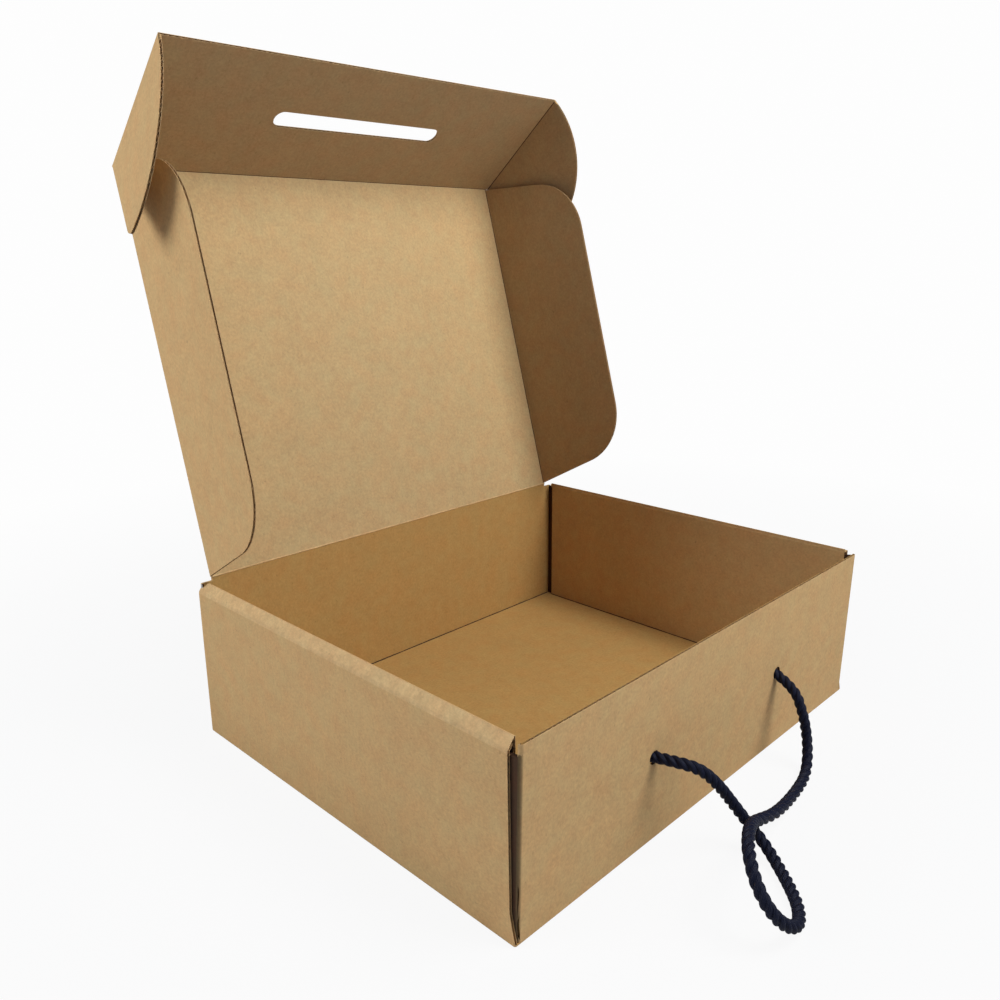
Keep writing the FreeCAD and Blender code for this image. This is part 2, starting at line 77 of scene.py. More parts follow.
class Wire:
    """One socket of a shader, which sums and products can use like a number."""

    def __init__(self, tree, socket=None):
        self.tree = tree
        self.socket = socket

    def node(self, kind, settings, links, outlet=0):
        """A new node: its type, its settings, and the values or links it takes in."""
        made = self.tree.nodes.new(kind)
        for name, value in settings.items():
            setattr(made, name, value)
        for name, value in links.items():
            if isinstance(value, Wire):
                self.tree.links.new(value.socket, made.inputs[name])
            else:
                made.inputs[name].default_value = value
        return Wire(self.tree, made.outputs[outlet] if made.outputs else None)

    def maths(self, operation, first, second=0.0):
        """A Math node on two values."""
        return self.node("ShaderNodeMath", {"operation": operation}, {0: first, 1: second})

    def __add__(self, other):
        return self.maths("ADD", self, other)

    __radd__ = __add__

    def __sub__(self, other):
        return self.maths("SUBTRACT", self, other)

    def __rsub__(self, other):
        return self.maths("SUBTRACT", other, self)

    def __mul__(self, other):
        return self.maths("MULTIPLY", self, other)

    __rmul__ = __mul__


def linear(red, green, blue):
    """A colour's 0 to 255 values as the shader takes them."""
    return [((c / 255 + 0.055) / 1.055) ** 2.4 if c > 10 else c / 255 / 12.92
            for c in (red, green, blue)]


def kraft(name, colour, washboard, lumps=0.0, shade=None):
    """Unbleached kraft paper: cloudy, with short fibres and stray flecks, and the
    flutes under it showing as a washboard. The sheet map runs across the flutes in
    its first direction and along them in its second, in metres, so a scale is a
    number of spots to the metre. Shade gives two ways out from the box's middle,
    left or right, between which the paper is darkened as painted shade."""
    paper = bpy.data.materials.new(name)
    paper.use_nodes = True
    paper.node_tree.nodes.clear()
    wire = Wire(paper.node_tree)
    place = wire.node("ShaderNodeTexCoord", {}, {}, "Object")
    sheet = wire.node("ShaderNodeUVMap", {"uv_map": "sheet"}, {})
    across = wire.node("ShaderNodeSeparateXYZ", {}, {0: sheet}, 0)
    along = wire.node("ShaderNodeSeparateXYZ", {}, {0: sheet}, 1)

    def noise(vector, scale, detail=2.0, roughness=0.5):
        return wire.node("ShaderNodeTexNoise", {},
                         {"Vector": vector, "Scale": scale, "Detail": detail,
                          "Roughness": roughness}, "Fac")

    def grain(cross, run, shift=0.0):
        vector = wire.node("ShaderNodeCombineXYZ", {},
                           {0: across * cross + shift, 1: along * run, 2: shift})
        return noise(vector, 1.0, 3.0)

    def above(value, low, high):
        return wire.node("ShaderNodeMapRange", {"clamp": True},
                         {0: value, 1: low, 2: high, 3: 0.0, 4: 1.0})

    cloud = noise(place, 48.0, 3.0, 0.55)
    patches = noise(place, 190.0, 2.0, 0.55)
    mottle = noise(place, 640.0, 2.0, 0.6)
    fibres = grain(2100.0, 640.0)
    dark_flecks = above(grain(620.0, 300.0, 3.7), 0.70, 0.735)
    pale_flecks = above(grain(500.0, 700.0, 8.1), 0.72, 0.75)
    broken = above(noise(place, 60.0, 2.0), 0.42, 0.62)
    ribs = wire.maths("SINE", across * (2 * math.pi / FLUTE)) * broken * (patches * 2.0)
    light = (1.0 + (cloud - 0.5) * 0.13 + (patches - 0.5) * (0.19 + lumps)
             + (mottle - 0.5) * 0.40 + (fibres - 0.5) * 0.30 + ribs * 0.022 * washboard
             - dark_flecks * 0.20 + pale_flecks * 0.10)
    # painted shade: the paper darkens between the two distances from the middle, for the
    # shadow in the slits beside the upright folds
    if shade:
        sideways = wire.node("ShaderNodeSeparateXYZ", {}, {0: place}, 0)
        from_middle = wire.maths("ABSOLUTE", sideways)
        light = light * (1.0 - above(from_middle, *shade) * 0.95)
    hue = wire.node("ShaderNodeMix", {"data_type": "RGBA"}, {
        0: above(noise(place, 95.0, 2.0), 0.3, 0.7),
        6: (*linear(colour[0] + 3, colour[1] - 1, colour[2] - 2), 1.0),
        7: (*linear(colour[0] - 3, colour[1] + 1, colour[2] + 1), 1.0)}, 2)
    tint = wire.node("ShaderNodeVectorMath", {"operation": "SCALE"},
                     {0: hue, "Scale": light})
    height = (fibres * 0.35 + mottle * 0.4 + patches * (0.5 + 3.0 * lumps)
              + ribs * 0.5 * washboard)
    bump = wire.node("ShaderNodeBump", {},
                     {"Strength": 0.3, "Distance": 0.00012, "Height": height})
    surface = wire.node("ShaderNodeBsdfPrincipled", {},
                        {"Base Color": tint, "Roughness": 0.85,
                         "Specular IOR Level": 0.22, "Normal": bump})
    wire.node("ShaderNodeOutputMaterial", {}, {"Surface": surface})
    return paper


kraft_outside = kraft("kraft_outside", (195, 160, 110), 0.15)
kraft_inside = kraft("kraft_inside", (180, 142, 84), 0.4)
# pale stretched paper on creases, lightened further as a painted highlight where they catch
# the light
kraft_stretched_painted_highlight = kraft("kraft_stretched_painted_highlight", (205, 171, 121), 0.0, lumps=0.25)
kraft_medium = kraft("kraft_medium", (150, 118, 80), 0.0)
# dark paper that paints the shade in recesses, slits, rope holes and hollow folds
kraft_painted_shade = kraft("kraft_painted_shade", (70, 48, 32), 0.0)
# outside paper with painted shade in the slits beside the upright corner folds
kraft_slit_painted_shade = kraft("kraft_slit_painted_shade", (195, 160, 110), 0.0, shade=(INNER_PLY + 0.0001, OUTER_PLY))
# the sheet's inner side again, lighter on the lid as painted light and darker on the flaps as
# painted shade
kraft_lid_painted_light = kraft("kraft_lid_painted_light", (190, 161, 115), 0.6)
kraft_flap_painted_shade = kraft("kraft_flap_painted_shade", (176, 146, 104), 0.6)
PAPERS = [kraft_outside, kraft_inside, kraft_stretched_painted_highlight, kraft_painted_shade, kraft_slit_painted_shade,
          kraft_lid_painted_light, kraft_flap_painted_shade]
OUTSIDE, INSIDE, STRETCHED_PAINTED_HIGHLIGHT, PAINTED_SHADE, SLIT_PAINTED_SHADE, LID_INSIDE_PAINTED_LIGHT, FLAP_INSIDE_PAINTED_SHADE = range(7)


def only(piece):
    """Select one piece alone and make it the one that operators work on."""
    bpy.ops.object.select_all(action="DESELECT")
    piece.select_set(True)
    bpy.context.view_layer.objects.active = piece


def merged_copy(node, name):
    """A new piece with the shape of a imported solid, its loose triangles merged."""
    piece = bpy.data.objects.new(name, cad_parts[node].data.copy())
    bpy.context.scene.collection.objects.link(piece)
    piece.data.materials.clear()
    only(piece)
    bpy.ops.object.mode_set(mode="EDIT")
    bpy.ops.mesh.select_all(action="SELECT")
    bpy.ops.mesh.remove_doubles(threshold=0.000002)
    bpy.ops.mesh.dissolve_limited(angle_limit=math.radians(0.5))
    bpy.ops.object.mode_set(mode="OBJECT")
    return piece


def pick(piece, kind, test):
    """Select the vertices, edges or faces of a piece that pass a test, which takes
    the middle, and for a face its normal too, and leave the piece in edit mode."""
    only(piece)
    mesh = piece.data
    bpy.ops.object.mode_set(mode="EDIT")
    bpy.ops.mesh.select_mode(type=kind)
    bpy.ops.mesh.select_all(action="DESELECT")
    bpy.ops.object.mode_set(mode="OBJECT")
    if kind == "VERT":
        for vertex in mesh.vertices:
            vertex.select = test(vertex.co)
    elif kind == "EDGE":
        for edge in mesh.edges:
            ends = [mesh.vertices[index].co for index in edge.vertices]
            edge.select = test((ends[0] + ends[1]) / 2, ends[1] - ends[0])
    else:
        for face in mesh.polygons:
            face.select = test(face.center, face.normal)
    bpy.ops.object.mode_set(mode="EDIT")


def apply(piece, kind, **settings):
    """Give a piece one modifier and apply it."""
    only(piece)
    modifier = piece.modifiers.new(kind.lower(), kind)
    for name, value in settings.items():
        setattr(modifier, name, value)
    bpy.ops.object.modifier_apply(modifier=modifier.name)


def lay_sheet(piece, along_of):
    """The sheet's own map in metres: across the flutes, then along them."""
    flat = piece.data.uv_layers.get("sheet") or piece.data.uv_layers.new(name="sheet")
    for face in piece.data.polygons:
        along = along_of(face.normal)
        side = along.cross(face.normal)
        if side.length < 0.2:
            side = along.orthogonal()
        side.normalize()
        for loop in face.loop_indices:
            spot = piece.data.vertices[piece.data.loops[loop].vertex_index].co
            flat.data[loop].uv = (spot.dot(side), spot.dot(along))
    piece.data.uv_layers.active = flat


def medium(name, centre, along, across, length, width, closed):
    """The fluted paper between the two liners. It is laid a little too large round
    its centre, and the closed solid of the board trims it."""
    normal = across.cross(along)
    waves = round(width / FLUTE) + 1
    width = waves * FLUTE
    steps_a_wave = 10
    bpy.ops.object.select_all(action="DESELECT")
    bpy.ops.mesh.primitive_grid_add(
        x_subdivisions=waves * steps_a_wave, y_subdivisions=1, size=1)
    piece = bpy.context.object
    piece.name = name
    reach = BOARD / 2 - LINER - 0.00007     # just into the liners, never through them
    turned = Matrix((across, along, normal)).transposed()
    for vertex in piece.data.vertices:
        x, y = vertex.co.x * width, vertex.co.y * length
        z = reach * math.sin(x / FLUTE * 2 * math.pi)
        vertex.co = Vector(centre) + turned @ Vector((x, y, z))
    apply(piece, "SOLIDIFY", thickness=MEDIUM, offset=0.0)
    apply(piece, "BOOLEAN", operation="INTERSECT", object=closed, solver="EXACT")
    piece.data.materials.clear()
    piece.data.materials.append(kraft_medium)
    lay_sheet(piece, lambda facing: along)
    return piece


def crease_bead(name, start, end, radius, paper, seed):
    """A slightly uneven thread of crushed or raised paper along a fold, in the paper it is
    given: dark paper paints the shade in hollow folds, and pale paper a highlight on the lid's
    hinge.
    """
    run = end - start
    ring_spacing = 0.006
    bpy.ops.object.select_all(action="DESELECT")
    bpy.ops.mesh.primitive_cylinder_add(
        vertices=8, radius=radius, depth=run.length, location=(start + end) / 2,
        rotation=run.to_track_quat("Z", "Y").to_euler())
    piece = bpy.context.object
    piece.name = name
    bpy.ops.object.transform_apply()
    bpy.ops.object.mode_set(mode="EDIT")
    for ring in range(round(run.length / ring_spacing)):
        place = start + run * ((ring + 1) * ring_spacing / run.length)
        bpy.ops.mesh.select_all(action="SELECT")
        bpy.ops.mesh.bisect(plane_co=place, plane_no=run)
    bpy.ops.mesh.select_all(action="SELECT")
    bpy.ops.transform.vertex_random(offset=radius * 0.3, seed=seed)
    bpy.ops.object.mode_set(mode="OBJECT")
    piece.data.materials.append(PAPERS[paper])
    lay_sheet(piece, lambda facing: run.normalized())
    return piece


def corrugated(node, name, along_of, paper_of, rim, fluting, moves=(), crease=None,
               beads=()):
    """A piece of corrugated board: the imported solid's outside as two liners, open
    where a cut edge shows its flutes, with the fluted paper between them. First
    some of its corners are moved, such as an edge drawn out to its fold line.
    Fluting lists the sheets of fluted paper, crease picks the edges to round, and
    beads lists the threads of paper along the folds."""
    crease_round = 0.0011
    piece = merged_copy(node, name)
    for test, shift in moves:
        pick(piece, "VERT", test)
        bpy.ops.transform.translate(value=shift)
        bpy.ops.object.mode_set(mode="OBJECT")
    only(piece)
    bpy.ops.object.duplicate()
    closed = bpy.context.object
    for paper in PAPERS:
        piece.data.materials.append(paper)
    if crease:
        pick(piece, "EDGE", crease)
        # the rounded crease in pale stretched paper with a painted highlight
        bpy.ops.mesh.bevel(offset=crease_round, segments=4, affect="EDGES", material=STRETCHED_PAINTED_HIGHLIGHT)
        bpy.ops.object.mode_set(mode="OBJECT")
    for face in piece.data.polygons:
        if face.material_index == OUTSIDE:
            face.material_index = paper_of(face.center, face.normal)
    pick(piece, "FACE", rim)
    bpy.ops.mesh.delete(type="FACE")
    bpy.ops.object.mode_set(mode="OBJECT")
    lay_sheet(piece, along_of)
    apply(piece, "SOLIDIFY", thickness=LINER, offset=-1.0)
    added = []
    for number, place in enumerate(fluting):
        added.append(medium(f"{name}_flutes_{number}", *place, closed))
    for number, line in enumerate(beads):
        added.append(crease_bead(f"{name}_bead_{number}", *line, number))
    only(piece)
    for paper in added:
        paper.select_set(True)
    if added:
        bpy.ops.object.join()
    bpy.data.objects.remove(closed)
    only(piece)
    bpy.ops.object.shade_smooth_by_angle(angle=math.radians(30))
    apply(piece, "WEIGHTED_NORMAL", weight=90, keep_sharp=True)
    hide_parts(node)
    return piece


RIGHT, BACK_WAY, UP = Vector((1, 0, 0)), Vector((0, 1, 0)), Vector((0, 0, 1))


def tray_along(normal):
    """In the tray the flutes run front to back, and up the front and back walls."""
    return UP if abs(normal.y) > 0.7 else BACK_WAY


def tray_paper(middle, normal):
    """Painted shade round the upright folds' slits, dark paper painted as shade on
    the plies inside the rolls and in the rope holes, pale stretched paper with a painted
    highlight along the left roll's top, and the sheet's inner side on the floor and
    inside front and back."""
    side, end = abs(middle.x), abs(middle.y)
    between_plies = INNER_WALL - 0.0005 < side < OUTER_PLY - 0.00005
    if between_plies and FOLD_FOOT + 0.0001 < middle.z < CREASE_HEIGHT - 0.0006:
        # painted shade in the slit beside each upright corner fold
        if end > HALF_DEPTH - 0.0025:
            return SLIT_PAINTED_SHADE
        # dark paper painted as shade on the plies deep inside the rolls
        if side > INNER_PLY - 0.0001 or end > HALF_DEPTH - 0.006:
            return PAINTED_SHADE
    # pale stretched paper with a painted highlight along the left roll's top
    on_left_strip = INNER_PLY - 0.0002 < -middle.x < HALF_WIDTH - 0.0003
    if on_left_strip and middle.z > CREASE_HEIGHT - 0.0009 and normal.z > 0.3:
        return STRETCHED_PAINTED_HIGHLIGHT
    if normal.z > 0.9 and middle.z < 2 * BOARD:
        return INSIDE
    # dark paper painted as shade on the sides of the rope holes
    by_hole = side < 0.07 and 0.03 < middle.z < 0.06
    if by_hole and normal.z ** 2 + normal.x ** 2 > 0.5:
        return PAINTED_SHADE
    inward = abs(normal.y) > 0.9 and normal.y * middle.y < 0 and side < INNER_WALL + 0.0008
    return INSIDE if inward and middle.z > 2 * BOARD else OUTSIDE


def tray_rim(middle, normal):
    """The cut edges that show: the front wall's top and the ends of the rolls."""
    front_top = middle.z > FRONT_TOP - 0.0009 and normal.z > 0.9 and middle.y < -0.115
    on_roll = abs(middle.x) > INNER_WALL - 0.0001 and middle.z > 0.004
    roll_end = on_roll and abs(normal.y) > 0.6 and 0.112 < abs(middle.y) < HALF_DEPTH - 0.00005
    return front_top or roll_end


def tray_crease(middle, run):
    """The rolled walls' outer creases, along the foot of their slanting strips."""
    return abs(run.y) > 0.1 and abs(abs(middle.x) - HALF_WIDTH) < 0.0001 and middle.z > 0.05


def right_roll(low, high, left, right):
    """A test for the right roll's corners between two heights and two widths."""
    return lambda spot: low < spot.z < high and left < spot.x < right


# The right roll isn't pressed down, so its strip lies nearly level with its crest.
# Each row is a line of its corners, and how far they rise.
roll_moves = []
for low, high, left, right, rise in (
        (0.0922, 0.0940, 0.1450, 0.1460, 0.0016),    # crest
        (0.0885, 0.0897, 0.1465, 0.1470, 0.0032),    # under the crest, at the inner ply
        (0.0860, 0.0872, 0.1483, 0.1487, 0.0047),    # under the crease, at the outer ply
        (0.0870, 0.0880, 0.1498, 0.1502, 0.0052)):   # outer crease
    roll_moves.append((right_roll(low, high, left, right), UP * rise))
lean = math.radians(1.2)
front_up = Vector((0, -math.sin(lean), math.cos(lean)))
front_middle = Vector((0, BOARD / 2 - HALF_DEPTH, BOARD)) + front_up * 0.08
tray_flutes = [(front_middle, front_up, RIGHT, 0.03, 0.284)]
for side in (-1, 1):
    for ply, front_end, back_end, height in (
            (OUTER_PLY, -0.1105, 0.1132, 0.077), (INNER_WALL, -0.1105, 0.108, 0.080)):
        for end in (front_end, back_end):
            middle = Vector((side * (ply + BOARD / 2), end, 0.046))
            tray_flutes.append((middle, BACK_WAY, UP * side, 0.015, height))
# threads of paper along the floor's folds, coloured dark as painted shade in the creases
tray_beads = []
for end, radius in ((0.1204, 0.00045), (-0.1204, 0.0004)):
    tray_beads.append((Vector((-0.145, end, FOLD_FOOT)), Vector((0.145, end, FOLD_FOOT)),
                       radius, PAINTED_SHADE))
for side in (-INNER_WALL, INNER_WALL):
    tray_beads.append((Vector((side, -0.118, FOLD_FOOT)), Vector((side, 0.1155, FOLD_FOOT)),
                       0.00045, PAINTED_SHADE))
tray = corrugated("tray", "tray_board", tray_along, tray_paper, tray_rim, tray_flutes,
                  moves=roll_moves, crease=tray_crease, beads=tray_beads)
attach(tray, "tray")

# ------------------------------------------------------------------- lid
# The lid is the same sheet, folded up from the top of the back wall, and it leans
# back a little. Its flutes run from the hinge to the tuck flap's fold, and its
# crease is a low bead.
FOLD_START = 0.00145                    # a panel's solid begins here, off its fold line


def folded(out, inner, degrees):
    """Which way a panel runs and its inner face looks, after a fold inwards."""
    turn = math.radians(degrees)
    return (out * math.cos(turn) + inner * math.sin(turn),
            inner * math.cos(turn) - out * math.sin(turn))


def faces_of(inner, paper=FLAP_INSIDE_PAINTED_SHADE):
    """A flat panel's papers: the sheet's inner side, by default in the copy darkened as
    painted shade for the flaps, and its outer side.
    """
    return lambda middle, normal: paper if normal.dot(inner) > 0.7 else OUTSIDE


def open_edges(origin, out, inner):
    """The cut edges of a flap: all that looks along the board, off its fold."""
    def test(middle, normal):
        return abs(normal.dot(inner)) < 0.3 and (middle - origin).dot(out) > FOLD_START + 0.001
    return test


def to_fold(origin, out):
    """The move that draws a panel's edge out to its fold line."""
    return (lambda spot: (spot - origin).dot(out) < FOLD_START + 0.00005,
            out * -FOLD_START)


def fold_corner(origin, out, line, low, high, shift):
    """The move of one end of a panel's edge along its fold line."""
    def test(spot):
        at_edge = (spot - origin).dot(out) < FOLD_START + 0.00005
        return at_edge and low < (spot - origin).dot(line) < high
    return test, line * shift


HINGE = Vector((0, HALF_DEPTH - BOARD / 2, 0.0938))
LID_LENGTH, LID_WIDTH, LID_LEAN = 0.2305, 0.2826, 15.4
lid_up, lid_inner = folded(UP, -BACK_WAY, -LID_LEAN)
bead_middle = HINGE + (lid_inner - BACK_WAY) * 0.0003
half_hinge = RIGHT * (LID_WIDTH / 2)

# its hinge bead is pale stretched paper with a painted highlight
lid = corrugated("lid_panel", "lid_board", lambda normal: lid_up,
                 faces_of(lid_inner, LID_INSIDE_PAINTED_LIGHT),
                 lambda middle, normal: False, [],
                 moves=[to_fold(HINGE, lid_up)],
                 beads=[(bead_middle - half_hinge, bead_middle + half_hinge, 0.0005, STRETCHED_PAINTED_HIGHLIGHT)])
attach(lid, "lid")

# ------------------------------------------------------------- side flaps
# Two flaps of the sheet stand on the lid's sides, folded in nearly square to it,
# with large round corners. A closed box has them inside its rolled walls.
FLAP_DEPTH, FLAP_FOLD = 0.0795, 85.5


def inner_corner(origin, first, second):
    """Where the inner faces of two panels meet beside their fold line."""
    return origin + (first + second) * (BOARD / 2 / (1 + first.dot(second)))


for word, side in (("left", -1), ("right", 1)):
    node = "side_flap_" + word
    start = HINGE + RIGHT * side * LID_WIDTH / 2
    out, inner = folded(RIGHT * side, lid_inner, FLAP_FOLD)
    middle = start + out * (FLAP_DEPTH + BOARD) / 2 + lid_up * LID_LENGTH / 2
    flutes = (middle, lid_up, inner.cross(lid_up) * -1, 0.24, 0.09)
    corner = inner_corner(start, lid_inner, inner)
    # the thread along the flap's inner fold is coloured dark as painted shade
    flap = corrugated(
        node, node + "_board", lambda normal: lid_up, faces_of(inner),
        open_edges(start, out, inner), [flutes],
        moves=[to_fold(start, out),
               fold_corner(start, out, lid_up, low=0, high=0.01, shift=-0.0016),
               fold_corner(start, out, lid_up, low=0.2, high=0.24, shift=0.001)],
        beads=[(corner + lid_up * 0.001, corner + lid_up * (LID_LENGTH - 0.001),
                0.00028, PAINTED_SHADE)])
    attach(flap, node)

# -------------------------------------------------------------- tuck flap
# The lid's front flap, cut from the same sheet, goes down behind the front wall when
# the box is closed. Its long slot clears the rope's knots behind that wall.
TUCK_START, TUCK_WIDTH, TUCK_LENGTH = HINGE + lid_up * LID_LENGTH, 0.2882, 0.0875
TUCK_FOLD = 66
tuck_out, tuck_inner = folded(lid_up, lid_inner, TUCK_FOLD)
flutes = (TUCK_START + tuck_out * 0.045, tuck_out, RIGHT, 0.1, 0.3)


def tuck_edge(middle, normal):
    """The tuck flap's free edge and the sides of its slot."""
    along = (middle - TUCK_START).dot(tuck_out)
    in_slot = abs(middle.x) < 0.07 and 0.03 < along < 0.06
    return abs(normal.dot(tuck_inner)) < 0.3 and (along > TUCK_LENGTH - 0.0002 or in_slot)


def by_slot_end(spot):
    """The slot's left end, which is cut a little further out than the right one."""
    return -0.07 < spot.x < -0.05 and 0.03 < (spot - TUCK_START).dot(tuck_out) < 0.06


slot_end = (by_slot_end, RIGHT * -0.0028)
corner = inner_corner(TUCK_START, lid_inner, tuck_inner)
# the thread along the tuck flap's inner fold is coloured dark as painted shade
tuck = corrugated(
    "tuck_flap", "tuck_flap_board", lambda normal: tuck_out, faces_of(tuck_inner),
    tuck_edge, [flutes], moves=[to_fold(TUCK_START, tuck_out), slot_end],
    beads=[(corner - half_hinge, corner + half_hinge, 0.00022, PAINTED_SHADE)])
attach(tuck, "tuck_flap")

# ------------------------------------------------------------------- ears
# A quarter-round ear of the same board stands at each end of the tuck flap, folded
# in along the sides. It locks the closed box by its grip in the rolled walls.
for word, side, fold in (("left", -1, 75), ("right", 1, 78)):
    node = "ear_" + word
    start = TUCK_START + RIGHT * side * TUCK_WIDTH / 2
    out, inner = folded(RIGHT * side, tuck_inner, fold)
    flutes = (start + out * 0.032 + tuck_out * 0.045, tuck_out,
              inner.cross(tuck_out) * -1, 0.11, 0.07)
    corner = inner_corner(start, tuck_inner, inner)

    def ear_tip(spot, start=start, out=out):
        """The outer end of the ear's straight side."""
        return (spot - start).dot(out) > 0.045 and (spot - start).dot(tuck_out) < 0.0254

    # the thread along the ear's inner fold is coloured dark as painted shade
    ear = corrugated(
        node, node + "_board", lambda normal: tuck_out, faces_of(inner),
        open_edges(start, out, inner), [flutes],
        moves=[to_fold(start, out),
               fold_corner(start, out, tuck_out, low=0, high=0.01, shift=-0.0012),
               (ear_tip, tuck_out * -0.0062)],
        beads=[(corner + tuck_out * 0.001, corner + tuck_out * (TUCK_LENGTH - 0.001),
                0.00035, PAINTED_SHADE)])
    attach(ear, node)

# ------------------------------------------------------------------- rope
# The handle is one length of three-strand twisted rope, near black, pushed through
# the two holes of the front wall. Its slack lies in a loop before the box.
ROPE, LAY = 0.0054, 0.0125              # diameter, and length of a full turn
ROUTE = [                               # millimetres, from the left hole to the right
    (-58, -121.2, 45.6), (-55.5, -132.5, 46.5), (-48.5, -142, 43.5), (-41, -147, 34),
    (-33.5, -150, 23), (-29, -156, 13), (-29, -165.5, 6), (-35, -175.5, 2.8),
    (-43.5, -185, 2.8), (-53, -194, 2.8), (-64, -199.5, 4), (-74.5, -199, 9.5),
    (-80.5, -194, 18), (-80, -187, 27), (-73, -179.5, 33.5), (-62, -173.5, 33.5),
    (-51.5, -169, 29), (-40.5, -164.5, 23), (-28, -162, 17), (-15, -161, 12),
    (-1.5, -159, 8), (11.5, -156.5, 4.5), (23.5, -154.5, 2.8), (36.5, -152.5, 2.8),
    (45, -150, 4.5), (51.5, -147, 10), (55, -144, 18), (54, -141.5, 29.5),
    (57, -134, 41.5), (58, -121.2, 45.6),
]
curve = bpy.data.curves.new("rope_line", "CURVE")
curve.dimensions = "3D"
curve.resolution_u = 24
spline = curve.splines.new("NURBS")
spline.points.add(len(ROUTE) - 1)
for point, place in zip(spline.points, ROUTE):
    point.co = (*(Vector(place) / 1000), 1.0)
spline.order_u = 3
spline.use_endpoint_u = True
line = bpy.data.objects.new("rope_line", curve)
bpy.context.scene.collection.objects.link(line)
bpy.context.view_layer.update()
line_mesh = bpy.data.meshes.new_from_object(line)
rope_path = [vertex.co.copy() for vertex in line_mesh.vertices]
bpy.data.objects.remove(line)

# its yarns lie across each strand, and fine hair runs with them
rope_navy = bpy.data.materials.new("rope_navy")
rope_navy.use_nodes = True
rope_navy.node_tree.nodes.clear()
wire = Wire(rope_navy.node_tree)
strand_map = wire.node("ShaderNodeUVMap", {"uv_map": "strand"}, {})
round_it = wire.node("ShaderNodeSeparateXYZ", {}, {0: strand_map}, 0)
along_it = wire.node("ShaderNodeSeparateXYZ", {}, {0: strand_map}, 1)
yarns = wire.maths("SINE", round_it * 44.0 + along_it * 2600.0)
hair = wire.node("ShaderNodeTexNoise", {}, {
    "Vector": wire.node("ShaderNodeCombineXYZ", {},
                        {0: round_it * 26.0 + along_it * 1500.0, 1: along_it * 300.0}),
    "Scale": 1.0, "Detail": 3.0}, "Fac")
dyed = wire.node("ShaderNodeVectorMath", {"operation": "SCALE"},
                  {0: linear(22, 26, 45), "Scale": 0.5 + hair * 0.7 + yarns * 0.2})
rope_bump = wire.node("ShaderNodeBump", {}, {
    "Strength": 0.55, "Distance": 0.00018, "Height": yarns * 0.5 + hair})
rope_surface = wire.node("ShaderNodeBsdfPrincipled", {}, {
    "Base Color": dyed, "Roughness": 0.5, "Specular IOR Level": 0.14, "Normal": rope_bump})
wire.node("ShaderNodeOutputMaterial", {}, {"Surface": rope_surface})


def twisted(name, path, width, lay, closed=False):
    """A three-strand rope along a line. Each ring is the outline of three round
    strands pressed together, turned a little on from the ring before. The lay is
    the length of a full turn at some way along the rope."""
    offset, strand = width * 0.2, width * 0.325
    steps = 14
    lobe = []
    for step in range(steps):
        swing = math.radians(120) * (step / steps - 0.5)
        lobe.append((swing, offset * math.cos(swing)
                     + math.sqrt(strand ** 2 - (offset * math.sin(swing)) ** 2)))
    corners, faces, marks, run, turned = [], [], [], 0.0, 0.0
    tangent = (path[1] - path[0]).normalized()
    normal = tangent.orthogonal().normalized()
    last = len(path) - 1
    for number, spot in enumerate(path):
        after = path[(number + 1) % len(path)] if closed else path[min(number + 1, last)]
        before = path[number - 1] if closed else path[max(number - 1, 0)]
        tangent = (after - before).normalized()
        normal = (normal - tangent * normal.dot(tangent)).normalized()
        binormal = tangent.cross(normal)
        gone = (spot - path[number - 1]).length if number else 0.0
        run += gone
        turned += gone / lay(run) * 2 * math.pi
        for one in range(3):
            for step, (swing, radius) in enumerate(lobe):
                turn = turned + one * 2 * math.pi / 3 + swing
                outward = normal * math.cos(turn) + binormal * math.sin(turn)
                corners.append(spot + outward * radius)
                marks.append((one + step / steps, run))
    ring = 3 * steps
    for number in range(last):
        for corner in range(ring):
            here, beside = number * ring + corner, number * ring + (corner + 1) % ring
            faces.append((here, beside, beside + ring, here + ring))
    if not closed:
        faces.append(tuple(reversed(range(ring))))
        faces.append(tuple(range(last * ring, (last + 1) * ring)))
    mesh = bpy.data.meshes.new(name)
    mesh.from_pydata(corners, [], faces)
    mesh.update()
    flat = mesh.uv_layers.new(name="strand")
    for face in mesh.polygons:
        around = [marks[mesh.loops[loop].vertex_index] for loop in face.loop_indices]
        wraps = max(mark[0] for mark in around) - min(mark[0] for mark in around) > 1.5
        for loop, (at_lobe, along) in zip(face.loop_indices, around):
            flat.data[loop].uv = (at_lobe + (3 if wraps and at_lobe < 1.5 else 0), along)
    piece = bpy.data.objects.new(name, mesh)
    bpy.context.scene.collection.objects.link(piece)
    piece.data.materials.append(rope_navy)
    only(piece)
    bpy.ops.object.shade_smooth_by_angle(angle=math.radians(50))
    return piece


def slack_lay(run):
    """The rope's own lay, opened up where the rope lies slack past its crossing."""
    return LAY * (1 + 0.9 * math.exp(-((run - 0.235) / 0.045) ** 2))


rope = twisted("rope_strands", rope_path, ROPE, slack_lay)
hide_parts("rope_handle")
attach(rope, "tray")

